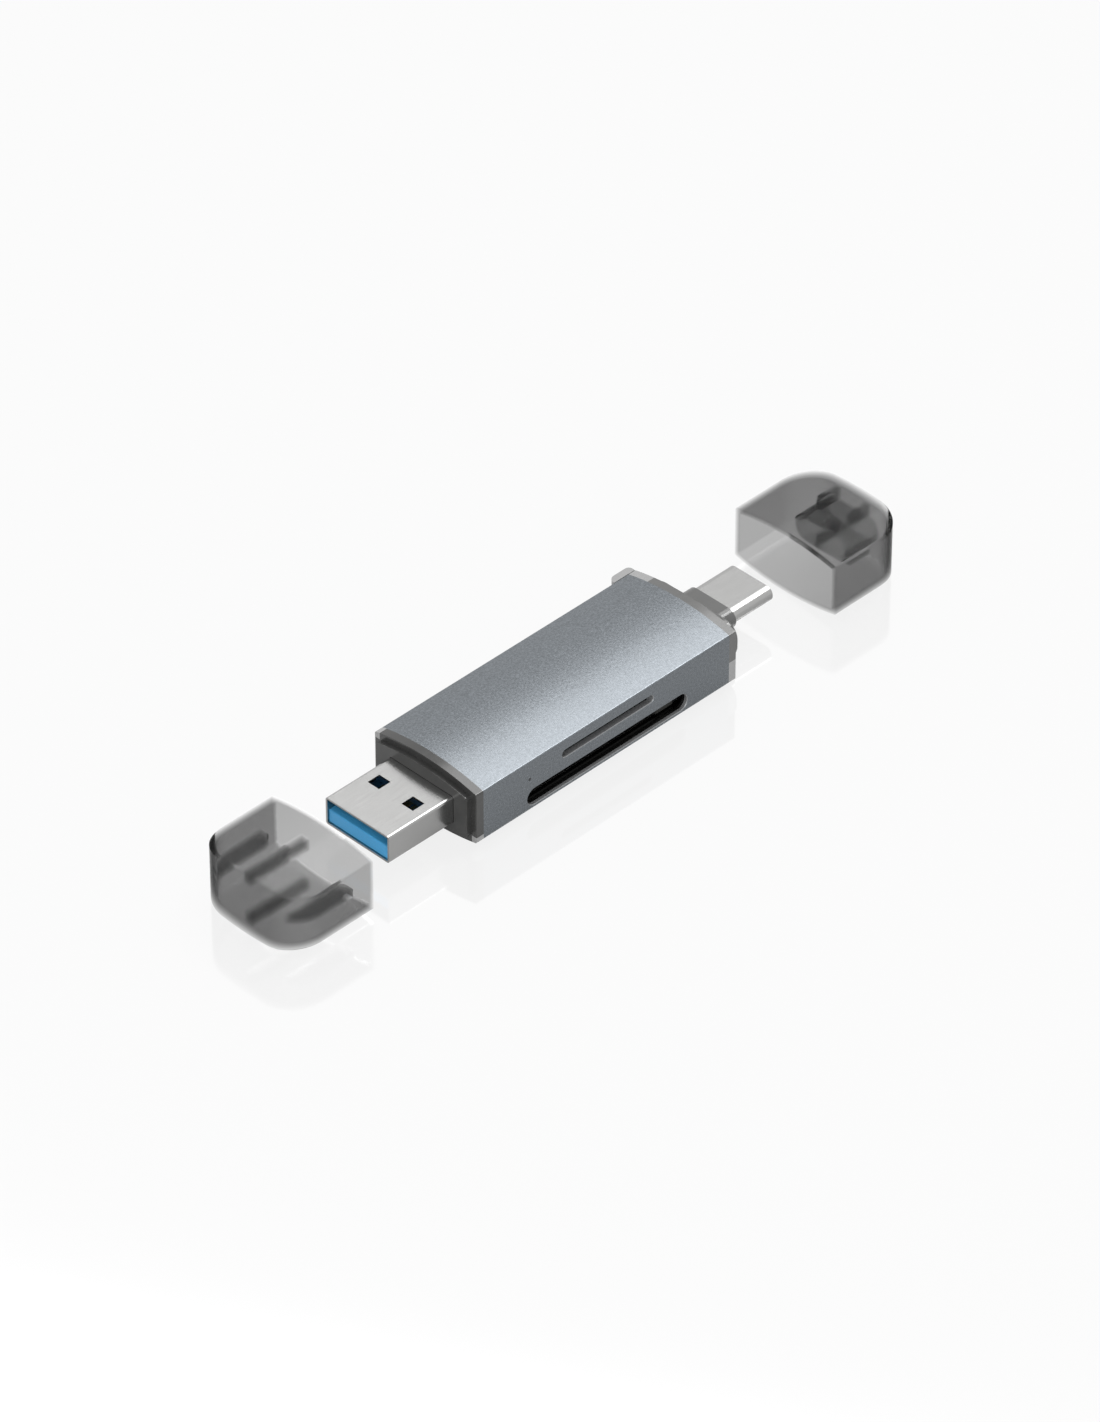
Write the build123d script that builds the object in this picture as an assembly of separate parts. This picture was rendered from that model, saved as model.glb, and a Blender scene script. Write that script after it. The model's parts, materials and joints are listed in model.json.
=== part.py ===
from build123d import *
import math
import os

# A pocket card reader, in millimetres. It lies on the arched underside of its metal shell.
# X runs along the reader with the USB-A plug at -X and the USB-C plug at +X, the card slots
# are in the -Y side, and +Z is up. The shapes are drawn about the centre of the shell, and
# PLACE sets them on the lowest line of the underside.

# Metal shell, an extruded tube with flat sides and a low arch above and below
shell_length = 46.7
shell_width = 19.2
side_height = 8.2
crown_rise = 1.15
side_wall = 1.0
crown_wall = 0.7
long_edge_round = 0.3
slot_bevel = 0.12

# Card slots and the indicator pinhole in the front side
sd_slot_width = 30.4
sd_slot_height = 2.7
sd_slot_x = 0.1
sd_card_z = -2.25
microsd_slot_width = 17.3
microsd_slot_height = 1.2
microsd_slot_x = 0.1
microsd_card_z = 1.7
pinhole_diameter = 0.5
pinhole_setback = 8.65
pinhole_z = 1.14

# Cards that the sockets are made for
sd_card_width = 24.0
sd_card_thickness = 2.1
microsd_card_width = 11.0
microsd_card_thickness = 0.7
card_clearance = 0.2
card_play = 0.1

# USB-A plug
usb_a_width = 12.0
usb_a_height = 4.5
usb_a_exposed = 11.85
usb_a_length = 18.75
usb_a_wall = 0.3
usb_a_corner = 0.4
usb_a_window = 2.15
usb_a_window_y = 3.2
usb_a_window_setback = 6.08
tongue_thickness = 2.1
tongue_recess = 0.25
tongue_side_gap = 0.06
tongue_depth = 9.0
tongue_edge = 0.12
usb2_contact_width = 1.0
usb2_contact_pitch = 2.0
usb2_contact_count = 4
usb3_contact_width = 0.6
usb3_contact_pitch = 2.0
usb3_contact_count = 5
usb_a_contact_thickness = 0.15
usb2_contact_setback = 1.6
usb3_contact_setback = 6.0
usb_a_rise_run = 0.5
usb_a_foot = 1.3

# USB-C plug
usb_c_width = 8.25
usb_c_height = 2.4
usb_c_exposed = 7.7
usb_c_length = 14.8
usb_c_wall = 0.2
usb_c_rim_bevel = 0.12
usb_c_insulator_recess = 0.35
usb_c_mouth_width = 6.8
usb_c_mouth_height = 0.95
usb_c_mouth_depth = 5.0
usb_c_mouth_corner = 0.2
usb_c_contact_count = 12
usb_c_contact_pitch = 0.5
usb_c_contact_width = 0.25
usb_c_contact_thickness = 0.12
usb_c_contact_setback = 0.9
usb_c_contact_bow = 0.12
usb_c_contact_bow_run = 0.9
usb_c_contact_bend = 0.3
usb_c_foot = 1.2
mid_plate_thickness = 0.15
mid_plate_side_gap = 0.2
mid_plate_rear_gap = 0.2
latch_setback = 0.8
latch_arm_width = 0.35
latch_arm_height = 0.45
latch_hook_length = 0.6
latch_hook_reach = 0.4
ground_spring_thickness = 0.1
ground_spring_length = 2.2
ground_spring_setback = 1.4
ground_spring_side_gap = 1.6

# End frames, smoky mouldings that close the shell
flange_length = 1.3
insert_length = 2.5
insert_fit = 0.05
plug_fit = 0.05
spigot_length = 0.78
spigot_corner = 0.6
boss_side_gap = 0.65
boss_height = 6.1
boss_corner = 2.5
boss_length = 2.2
boss_edge_round = 0.4
collar_wall = 0.4
collar_length = 3.15
lug_length = 4.0
lug_proud = 1.15
lug_inner_round = 1.1
lug_outer_round = 0.7
lug_root = 1.0
rail_width = 1.2
rail_height = 2.6
rail_overlap = 2.1

# Circuit board, held by its edges in the rails of the end frames
board_thickness = 0.8
board_side_gap = 0.5
board_fit = 0.03
board_end_gap = 0.1
board_tongue_width = 9.0
board_tongue_length = 2.4
board_corner = 0.5

# Socket for the large card, under the board
sd_socket_x = -0.1
sd_rear_gap = 1.1
sd_left_rail = 0.8
sd_right_rail = 3.2
sd_rear_wall = 0.6
sd_cover_thickness = 0.2
sd_contact_count = 9
sd_contact_pitch = 2.5
sd_contact_width = 0.9
sd_contact_slot = 1.3
sd_contact_thickness = 0.15
sd_contact_reach = 4.7
sd_contact_dip = 0.35
sd_detect_places = (4.5, 9.5)
sd_detect_pocket = 1.4
sd_detect_width = 3.0
sd_detect_height = 1.4
sd_pocket_roof = 0.4

# Socket for the small card, on top of the board
microsd_rear_gap = 2.3
microsd_socket_width = 15.0
microsd_rear_wall = 0.8
microsd_cover_thickness = 0.15
microsd_contact_count = 8
microsd_contact_pitch = 1.1
microsd_contact_width = 0.5
microsd_contact_slot = 0.8
microsd_contact_thickness = 0.12
microsd_contact_reach = 5.2
microsd_contact_dip = 0.25
microsd_detect_place = 8.9
microsd_detect_pocket = 0.9
microsd_detect_width = 2.8
microsd_detect_height = 0.8
microsd_pocket_floor = 0.3

# Shapes that both sockets share
socket_mouth_setback = 0.7
spring_slot_margin = 0.3
spring_foot = 0.6
spring_heel = 0.5
spring_bend = 0.5
spring_rise = 0.3
spring_tip = 0.6
spring_tip_lift = 0.2
detect_flat = 0.3
detect_touch = 0.05
detect_play = 0.1
cover_setback = 0.3
cover_side_inset = 0.4
tab_width = 1.3
tab_slit = 0.4
tab_length = 5.0
tab_setback = 6.9
sd_tab_spacing = 11.6
microsd_tab_spacing = 6.6

# Parts on the board
controller_size = 6.0
controller_height = 0.85
controller_y = 1.2
chip_standoff = 0.05
chip_edge = 0.12
chip_pin_count = 9
chip_pin_pitch = 0.5
chip_pin_width = 0.25
chip_pin_reach = 0.5
chip_pin_thickness = 0.15
chip_pin_root = 0.05
chip_pin_shoulder = 0.15
chip_pin_slope = 0.1
crystal_length = 3.2
crystal_width = 2.5
crystal_height = 0.8
crystal_y = 4.6
crystal_foot_height = 0.3
crystal_lid_inset = 0.2
crystal_corner = 0.4
regulator_length = 2.9
regulator_width = 1.5
regulator_height = 1.0
regulator_y = 0.0
regulator_standoff = 0.1
regulator_edge = 0.1
regulator_leg_spacing = 1.9
regulator_leg_width = 0.4
regulator_leg_reach = 0.5
regulator_leg_thickness = 0.2
chip_part_length = 1.0
chip_part_width = 0.5
chip_part_height = 0.45
part_gap = 0.9
part_pitch = 1.2
part_row_gap = 2.2
plug_part_setback = 1.5
plug_part_y = 4.9
usb_c_part_setback = 3.4
usb_c_part_y = 3.0
led_width = 1.8
led_depth = 1.0
led_height = 1.4
led_edge = 0.2

# Caps, shown pulled off along X
cap_length = 14.4
cap_wall = 0.9
cap_end_wall = 1.0
cap_plan_corner = 5.4
cap_edge_bevel = 0.2
cap_fit = 0.12
usb_a_cap_mouth_x = 43.65
usb_c_cap_mouth_x = 44.4
rib_setback = 3.0
rib_thickness = 1.5
side_rib_thickness = 1.4
side_rib_round = 1.5
rib_clearance = 0.2
sleeve_setback = 7.2
sleeve_clearance = 0.25
sleeve_wall = 0.8
sleeve_rib_spacing = 5.5
sleeve_rib_thickness = 0.9
sleeve_rib_setback = 2.2

# Places that follow from the sizes
half_length = shell_length / 2
half_width = shell_width / 2
crest = side_height / 2 + crown_rise
pinhole_x = pinhole_setback - half_length
frame_face = half_length + flange_length
spigot_face = frame_face + spigot_length
usb_a_tip = spigot_face + usb_a_exposed
usb_a_rear = usb_a_tip - usb_a_length
boss_width = shell_width - 2 * (cap_wall + boss_side_gap)
boss_face = frame_face + boss_length
collar_face = boss_face + collar_length
usb_c_tip = collar_face + usb_c_exposed
usb_c_rear = usb_c_tip - usb_c_length
usb_c_insulator_face = usb_c_tip - usb_c_insulator_recess
usb_c_mouth_end = usb_c_insulator_face - usb_c_mouth_depth
board_top = board_thickness / 2
board_half_width = half_width - side_wall - board_side_gap
board_low_x = -usb_a_rear + board_end_gap
board_high_x = usb_c_rear - board_end_gap
board_wide_end = board_high_x - board_tongue_length
inner_half_width = half_width - side_wall
socket_front = -inner_half_width + socket_mouth_setback
sd_socket_y = (socket_front, inner_half_width - sd_rear_gap)
microsd_socket_y = (socket_front, inner_half_width - microsd_rear_gap)
microsd_socket_half = microsd_socket_width / 2 + microsd_cover_thickness
controller_x = (board_low_x + usb_a_foot + microsd_slot_x - microsd_socket_half) / 2
regulator_x = microsd_slot_x + microsd_socket_half + part_row_gap + regulator_length / 2
PLACE = Pos(0, 0, crest)


def crown_height(y):
    """Height of the arched top above the shell's centre, at y from the centre line."""
    radius = (half_width ** 2 + crown_rise ** 2) / (2 * crown_rise)
    return crest - radius + math.sqrt(radius ** 2 - y ** 2)


def body_section(side_inset=0.0, crown_inset=0.0):
    """Section across the reader, flat sides between two arches, or the same drawn inwards."""
    half = half_width - side_inset
    corner = crown_height(half) - crown_inset
    top = crest - crown_inset
    return make_face([
        Line((-half, -corner), (-half, corner)),
        ThreePointArc((-half, corner), (0, top), (half, corner)),
        Line((half, corner), (half, -corner)),
        ThreePointArc((half, -corner), (0, -top), (-half, -corner)),
    ])


def along_x(sketch, start, end):
    """Extrude a sketch of the YZ plane from X = start to X = end."""
    return extrude(Plane.YZ.offset(start) * sketch, amount=end - start)


def body_bar(start, end, side_inset=0.0, crown_inset=0.0, edge_round=0.0):
    """A length of the body section, with its four long edges rounded if asked."""
    bar = along_x(body_section(side_inset, crown_inset), start, end)
    if edge_round:
        bar = fillet(bar.edges().filter_by(Axis.X), edge_round)
    return bar


def block(x, y, z):
    """A box between the pairs of limits x, y and z."""
    size = [high - low for low, high in (x, y, z)]
    return Pos(x[0], y[0], z[0]) * Box(*size, align=(Align.MIN, Align.MIN, Align.MIN))


def standing_box(x, y, z, size):
    """A box of a given size that stands on the level z, centred on x and y."""
    return Pos(x, y, z) * Box(*size, align=(Align.CENTER, Align.CENTER, Align.MIN))


def centred(middle, size):
    """The pair of limits of a span of a given size about its middle."""
    return (middle - size / 2, middle + size / 2)


def span(start, length, side=1):
    """The pair of limits of a span that runs outwards from start to one side of zero."""
    return tuple(sorted((side * start, side * (start + length))))


def spread(count, pitch):
    """Places of a row of equal parts about zero."""
    return [(i - (count - 1) / 2) * pitch for i in range(count)]


def strip_outline(points, thickness):
    """Closed outline of a bent strip whose left face follows the points."""
    offsets = []
    for i, point in enumerate(points):
        before = points[max(i - 1, 0)]
        after = points[min(i + 1, len(points) - 1)]
        first = Vector(point[0] - before[0], point[1] - before[1]) if i else None
        second = Vector(after[0] - point[0], after[1] - point[1]) if i < len(points) - 1 else None
        first = (first or second).normalized()
        second = (second or first).normalized()
        normal = Vector(first.Y + second.Y, -first.X - second.X).normalized()
        reach = thickness / normal.dot(Vector(first.Y, -first.X))
        offsets.append((point[0] + normal.X * reach, point[1] + normal.Y * reach))
    return list(points) + offsets[::-1]


def strip(plane, points, thickness, width):
    """A bent strip drawn on a plane and as wide across it as asked."""
    face = make_face(Polyline(*strip_outline(points, thickness), close=True))
    return extrude(plane * face, amount=width / 2, both=True)


def strip_in_xz(points, thickness, width, y):
    """A bent strip drawn in X and Z, of a given width along Y about y."""
    plane = Plane((0, y, 0), x_dir=(1, 0, 0), z_dir=(0, -1, 0))
    return strip(plane, points, thickness, width)


def strip_in_yz(points, thickness, width, x):
    """A bent strip drawn in Y and Z, of a given width along X about x."""
    return strip(Plane.YZ.offset(x), points, thickness, width)


def group(solids):
    """Separate solids that share one name."""
    return Compound(list(solids))


def front_cut(outline, x, z):
    """Cut an outline through the front wall at x, z."""
    wall_middle = -half_width + side_wall / 2
    plane = Plane((x, wall_middle, z), x_dir=(1, 0, 0), z_dir=(0, -1, 0))
    return extrude(plane * outline, amount=side_wall, both=True)


def front_bevel(outline, x, z):
    """Bevel round the outer edge of a slot, from its outline grown by the bevel."""
    plane = Plane((x, -half_width, z), x_dir=(1, 0, 0), z_dir=(0, 1, 0))
    return extrude(plane * outline, amount=slot_bevel, taper=45)


def metal_shell():
    """Extruded tube with both card slots and the pinhole milled in the front side."""
    shell = body_bar(-half_length, half_length, edge_round=long_edge_round)
    shell -= body_bar(-half_length, half_length, side_wall, crown_wall)
    slots = [
        (sd_slot_width, sd_slot_height, sd_slot_x, sd_card_z),
        (microsd_slot_width, microsd_slot_height, microsd_slot_x, microsd_card_z),
    ]
    for width, height, x, z in slots:
        shell -= front_cut(SlotOverall(width, height), x, z)
        grown = SlotOverall(width + 2 * slot_bevel, height + 2 * slot_bevel)
        shell -= front_bevel(grown, x, z)
    shell -= front_cut(Circle(pinhole_diameter / 2), pinhole_x, pinhole_z)
    return shell


def board_rails(inner_x, outer_x):
    """Two arms of an end frame, slotted for the edges of the board."""
    rails = []
    inner_edge = inner_half_width - insert_fit - rail_width
    slot_z = centred(0, board_thickness + 2 * board_fit)
    for side in (-1, 1):
        rail = block((inner_x, outer_x), span(inner_edge, rail_width, side), centred(0, rail_height))
        slot_y = span(0, board_half_width + board_fit, side)
        rails.append(rail - block((inner_x, outer_x), slot_y, slot_z))
    return rails


def usb_a_end_frame():
    """Flange flush with the shell, spigot for the cap, and an insert with two board rails."""
    frame = body_bar(-frame_face, -half_length, edge_round=long_edge_round)
    inset = cap_wall + cap_fit
    spigot = body_bar(-spigot_face, -frame_face, inset, inset)
    spigot = fillet(spigot.edges().filter_by(Axis.X), spigot_corner)
    frame += spigot
    insert_end = -half_length + insert_length
    frame += body_bar(-half_length, insert_end, side_wall + insert_fit, crown_wall + insert_fit)
    for rail in board_rails(insert_end, board_low_x + rail_overlap):
        frame += rail
    hole = RectangleRounded(usb_a_width + 2 * plug_fit, usb_a_height + 2 * plug_fit, usb_a_corner)
    return frame - along_x(hole, -spigot_face, insert_end)


def side_lug():
    """Small lug on the back of the USB-C flange, with rounded ends."""
    inner_x = frame_face - lug_length
    lug = block((inner_x, frame_face), span(half_width, lug_proud), centred(0, side_height))
    corners = lug.edges().filter_by(Axis.Z).group_by(Axis.Y)[-1].sort_by(Axis.X)
    lug = fillet(corners[0], lug_inner_round)
    corners = lug.edges().filter_by(Axis.Z).group_by(Axis.X)[-1].sort_by(Axis.Y)
    lug = fillet(corners[-1], lug_outer_round)
    root_height = side_height - 2 * long_edge_round
    root = block((half_length, frame_face), span(half_width - lug_root, lug_root), centred(0, root_height))
    return lug + root


def usb_c_end_frame():
    """Flange with its lug, oval boss, collar round the plug, and an insert with board rails."""
    frame = body_bar(half_length, frame_face, edge_round=long_edge_round)
    frame += side_lug()
    boss = along_x(RectangleRounded(boss_width, boss_height, boss_corner), frame_face, boss_face)
    frame += fillet(boss.faces().sort_by(Axis.X)[-1].edges(), boss_edge_round)
    collar = SlotOverall(usb_c_width + 2 * collar_wall, usb_c_height + 2 * collar_wall)
    frame += along_x(collar, boss_face, collar_face)
    insert_end = half_length - insert_length
    frame += body_bar(insert_end, half_length, side_wall + insert_fit, crown_wall + insert_fit)
    for rail in board_rails(board_wide_end - rail_overlap, insert_end):
        frame += rail
    hole_height = usb_c_height + 2 * plug_fit
    frame -= along_x(SlotOverall(usb_c_width + 2 * plug_fit, hole_height), insert_end, collar_face)
    pocket = Rectangle(board_tongue_width + 2 * plug_fit, hole_height)
    return frame - along_x(pocket, insert_end, half_length)


def usb_a_plug_shell():
    """Folded steel shell with two latch windows above and two below."""
    outer = RectangleRounded(usb_a_width, usb_a_height, usb_a_corner)
    inner = RectangleRounded(usb_a_width - 2 * usb_a_wall, usb_a_height - 2 * usb_a_wall,
                             usb_a_corner - usb_a_wall)
    shell = along_x(outer, -usb_a_tip, -usb_a_rear) - along_x(inner, -usb_a_tip, -usb_a_rear)
    window_x = span(-usb_a_tip + usb_a_window_setback, usb_a_window)
    for y in (-usb_a_window_y, usb_a_window_y):
        shell -= block(window_x, centred(y, usb_a_window), centred(0, 2 * usb_a_height))
    return shell


def usb_a_contact_strips():
    """Four flat contacts near the tip and five behind them, each with a foot on the board."""
    bed = -usb_a_height / 2 + usb_a_wall + tongue_thickness
    foot = board_top + usb_a_contact_thickness
    rise_x = -usb_a_rear - usb_a_rise_run
    rows = [
        (usb2_contact_count, usb2_contact_pitch, usb2_contact_width, usb2_contact_setback),
        (usb3_contact_count, usb3_contact_pitch, usb3_contact_width, usb3_contact_setback),
    ]
    strips = []
    for count, pitch, width, setback in rows:
        path = [(-usb_a_tip + setback, bed), (rise_x, bed), (-usb_a_rear, foot),
                (board_low_x + usb_a_foot, foot)]
        for y in spread(count, pitch):
            strips.append(strip_in_xz(path, usb_a_contact_thickness, width, y))
    return strips


def usb_a_tongue(contacts):
    """Insulator, a tongue in the lower half of the mouth on a block that fills the rear."""
    half = usb_a_height / 2 - usb_a_wall
    width = usb_a_width - 2 * usb_a_wall
    tongue_end = -usb_a_tip + tongue_recess
    root = -usb_a_tip + tongue_depth
    tongue = block((tongue_end, root), centred(0, width - 2 * tongue_side_gap),
                   span(-half, tongue_thickness))
    tip = tongue.faces().sort_by(Axis.X)[0].edges().filter_by(Axis.Y)
    tongue = chamfer(tip, tongue_edge)
    block_section = RectangleRounded(width, 2 * half, usb_a_corner - usb_a_wall)
    tongue += along_x(block_section, root, -usb_a_rear)
    for contact in contacts:
        tongue -= contact
    return tongue


def usb_c_plug_shell():
    """Drawn steel shell of oval section with a bevelled rim."""
    outer = along_x(SlotOverall(usb_c_width, usb_c_height), usb_c_rear, usb_c_tip)
    outer = chamfer(outer.faces().sort_by(Axis.X)[-1].edges(), usb_c_rim_bevel)
    inner = SlotOverall(usb_c_width - 2 * usb_c_wall, usb_c_height - 2 * usb_c_wall)
    return outer - along_x(inner, usb_c_rear, usb_c_tip)


def usb_c_contact_blades():
    """Two rows of contacts whose tips bow into the mouth, with feet above and below the board."""
    front = usb_c_insulator_face - usb_c_contact_setback
    level = usb_c_mouth_height / 2
    path = [
        (board_high_x - usb_c_foot, board_top),
        (usb_c_rear, board_top),
        (usb_c_rear + usb_c_contact_bend, level),
        (front - 2 * usb_c_contact_bow_run, level),
        (front - usb_c_contact_bow_run, level - usb_c_contact_bow),
        (front, level),
    ]
    rows = [path[::-1], [(x, -z) for x, z in path]]
    blades = []
    for row in rows:
        for y in spread(usb_c_contact_count, usb_c_contact_pitch):
            blades.append(strip_in_xz(row, usb_c_contact_thickness, usb_c_contact_width, y))
    return blades


def usb_c_mid_plate():
    """Steel plate between the contact rows, with a latch arm along each side of the mouth."""
    half = usb_c_width / 2 - usb_c_wall - mid_plate_side_gap
    plate = block((usb_c_rear + mid_plate_rear_gap, usb_c_mouth_end), centred(0, 2 * half),
                  centred(0, mid_plate_thickness))
    arm_end = usb_c_insulator_face - latch_setback
    arm_z = centred(0, latch_arm_height)
    for side in (-1, 1):
        plate += block((usb_c_mouth_end, arm_end), span(half - latch_arm_width, latch_arm_width, side), arm_z)
        hook_y = span(half - latch_arm_width - latch_hook_reach, latch_hook_reach, side)
        plate += block((arm_end - latch_hook_length, arm_end), hook_y, arm_z)
    return plate


def usb_c_ground_springs():
    """One spring sheet above and one below, set in the faces of the insulator."""
    end = usb_c_tip - ground_spring_setback
    y = centred(0, usb_c_width - 2 * ground_spring_side_gap)
    top = usb_c_height / 2 - usb_c_wall
    return [block((end - ground_spring_length, end), y, span(low, ground_spring_thickness))
            for low in (top - ground_spring_thickness, -top)]


def usb_c_insulator(inserts):
    """Insulator that fills the plug shell, open at the front for the socket's tongue."""
    body = SlotOverall(usb_c_width - 2 * usb_c_wall, usb_c_height - 2 * usb_c_wall)
    insulator = along_x(body, usb_c_rear, usb_c_insulator_face)
    mouth = RectangleRounded(usb_c_mouth_width, usb_c_mouth_height, usb_c_mouth_corner)
    insulator -= along_x(mouth, usb_c_mouth_end, usb_c_insulator_face)
    for insert in inserts:
        insulator -= insert
    return insulator


def circuit_board():
    """Board with a narrow tongue at the USB-C end, to the inside of the shell."""
    z = centred(0, board_thickness)
    board = block((board_low_x, board_wide_end), centred(0, 2 * board_half_width), z)
    board = fillet(board.edges().filter_by(Axis.Z), board_corner)
    return board + block((board_wide_end - board_corner, board_high_x), centred(0, board_tongue_width), z)


def socket_spring(rear, card_height, side, thickness, reach, dip):
    """Points in Y and Z of a spring with a foot on the board and a tip that dips to the card."""
    tip_y = rear - reach
    heights = [
        (rear + spring_foot, thickness),
        (rear - spring_heel, thickness),
        (rear - spring_heel - spring_bend, thickness + spring_rise),
        (tip_y + spring_tip, card_height + dip),
        (tip_y, card_height + dip - spring_tip_lift),
    ]
    points = [(y, side * (board_top + height)) for y, height in heights]
    return points[::-1] if side > 0 else points


def detect_spring(edge, y, pocket, width, thickness, z):
    """A bowed spring in a pocket beside the card space, which the card's edge pushes back."""
    low, high = centred(y, width)
    seat = edge + pocket - thickness
    bow = [(seat, low), (seat, low + detect_flat), (edge + detect_touch, y),
           (seat, high - detect_flat), (seat, high)]
    face = make_face(Polyline(*strip_outline(bow, thickness), close=True))
    return extrude(Plane.XY.offset(z[0]) * face, amount=z[1] - z[0])


def folded_cover(x, y, flat_z, thickness):
    """Stamped sheet over or under a socket, between the levels flat_z, folded to the board."""
    cover = block((x[0] - thickness, x[1] + thickness), (y[0] + cover_setback, y[1]), flat_z)
    board_z = board_top if flat_z[0] > 0 else -board_top
    inside_z = flat_z[0] if flat_z[0] > 0 else flat_z[1]
    side_z = tuple(sorted((board_z, inside_z)))
    side_y = (y[0] + cover_setback + cover_side_inset, y[1] - cover_side_inset)
    for side_x in ((x[0] - thickness, x[0]), (x[1], x[1] + thickness)):
        cover += block(side_x, side_y, side_z)
    return cover


def tab_slits(middle, spacing, front, z):
    """U-shaped slits that leave two pressing tabs in a cover."""
    y = span(front + tab_setback, tab_length)
    slits = []
    for x in (middle - spacing / 2, middle + spacing / 2):
        tab = block(centred(x, tab_width), (y[0], y[1] - tab_slit), z)
        slits.append(block(centred(x, tab_width + 2 * tab_slit), y, z) - tab)
    return slits


def sd_card_space():
    """Limits in X and Z of the space that the large card slides into."""
    width = sd_card_width + 2 * card_clearance
    left = sd_socket_x - (width + sd_left_rail + sd_right_rail) / 2 + sd_left_rail
    return (left, left + width), centred(sd_card_z, sd_card_thickness + card_play)


def sd_socket_x_limits():
    """Limits in X of the large card's socket."""
    space_x, _ = sd_card_space()
    return (space_x[0] - sd_left_rail, space_x[1] + sd_right_rail)


def sd_contact_places():
    """Places along X of the springs over the card's contact row."""
    space_x, _ = sd_card_space()
    middle = sum(space_x) / 2
    return [middle + x for x in spread(sd_contact_count, sd_contact_pitch)]


def sd_socket_base():
    """Moulded frame under the board: a roof slotted for the springs, two rails and a rear wall."""
    space_x, space_z = sd_card_space()
    front, rear = sd_socket_y
    base = block(sd_socket_x_limits(), sd_socket_y, (space_z[0], -board_top))
    base -= block(space_x, (front, rear - sd_rear_wall), space_z)
    slot_y = (rear - sd_contact_reach - spring_slot_margin, rear)
    for contact_x in sd_contact_places():
        base -= block(centred(contact_x, sd_contact_slot), slot_y, (space_z[1], -board_top))
    pocket_z = (space_z[0], space_z[1] - sd_pocket_roof)
    for place in sd_detect_places:
        pocket_y = centred(front + place, sd_detect_width + 2 * detect_play)
        base -= block(span(space_x[1], sd_detect_pocket), pocket_y, pocket_z)
    return base


def sd_socket_contacts():
    """Nine springs that reach down through the roof to the card, with feet on the board."""
    _, space_z = sd_card_space()
    path = socket_spring(sd_socket_y[1], -board_top - space_z[1], -1, sd_contact_thickness,
                         sd_contact_reach, sd_contact_dip)
    return [strip_in_yz(path, sd_contact_thickness, sd_contact_width, x) for x in sd_contact_places()]


def sd_detect_springs():
    """Card-detect and write-protect springs in the pockets of the side block."""
    space_x, space_z = sd_card_space()
    z = span(space_z[0], sd_detect_height)
    return [detect_spring(space_x[1], sd_socket_y[0] + place, sd_detect_pocket, sd_detect_width,
                          sd_contact_thickness, z)
            for place in sd_detect_places]


def sd_socket_cover():
    """Stamped plate under the card, folded up along both sides to the board."""
    space_x, space_z = sd_card_space()
    flat_z = (space_z[0] - sd_cover_thickness, space_z[0])
    cover = folded_cover(sd_socket_x_limits(), sd_socket_y, flat_z, sd_cover_thickness)
    for slit in tab_slits(sum(space_x) / 2, sd_tab_spacing, sd_socket_y[0], flat_z):
        cover -= slit
    return cover


def microsd_card_space():
    """Limits in X and Z of the space that the small card slides into."""
    return (centred(microsd_slot_x, microsd_card_width + card_clearance),
            centred(microsd_card_z, microsd_card_thickness + 2 * card_play))


def microsd_contact_places():
    """Places along X of the springs under the small card's contact row."""
    return [microsd_slot_x + x for x in spread(microsd_contact_count, microsd_contact_pitch)]


def microsd_socket_base():
    """Moulded tray on the board, slotted for the springs, with two rails and a rear wall."""
    space_x, space_z = microsd_card_space()
    front, rear = microsd_socket_y
    base = block(centred(microsd_slot_x, microsd_socket_width), microsd_socket_y, (board_top, space_z[1]))
    base -= block(space_x, (front, rear - microsd_rear_wall), space_z)
    slot_y = (rear - microsd_contact_reach - spring_slot_margin, rear)
    for contact_x in microsd_contact_places():
        base -= block(centred(contact_x, microsd_contact_slot), slot_y, (board_top, space_z[0]))
    pocket_y = centred(front + microsd_detect_place, microsd_detect_width + 2 * detect_play)
    pocket_z = (space_z[0] - microsd_pocket_floor, space_z[1])
    return base - block(span(space_x[1], microsd_detect_pocket), pocket_y, pocket_z)


def microsd_socket_contacts():
    """Eight springs that rise through the tray to the card, with feet on the board."""
    _, space_z = microsd_card_space()
    path = socket_spring(microsd_socket_y[1], space_z[0] - board_top, 1, microsd_contact_thickness,
                         microsd_contact_reach, microsd_contact_dip)
    return [strip_in_yz(path, microsd_contact_thickness, microsd_contact_width, x)
            for x in microsd_contact_places()]


def microsd_detect_spring():
    """Card-detect spring in the pocket of the tray's side rail."""
    space_x, space_z = microsd_card_space()
    z = span(space_z[0] - microsd_pocket_floor, microsd_detect_height)
    return detect_spring(space_x[1], microsd_socket_y[0] + microsd_detect_place, microsd_detect_pocket,
                         microsd_detect_width, microsd_contact_thickness, z)


def microsd_socket_cover():
    """Stamped lid over the small card, folded down along both sides to the board."""
    _, space_z = microsd_card_space()
    flat_z = (space_z[1], space_z[1] + microsd_cover_thickness)
    x = centred(microsd_slot_x, microsd_socket_width)
    cover = folded_cover(x, microsd_socket_y, flat_z, microsd_cover_thickness)
    for slit in tab_slits(microsd_slot_x, microsd_tab_spacing, microsd_socket_y[0], flat_z):
        cover -= slit
    return cover


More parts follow.
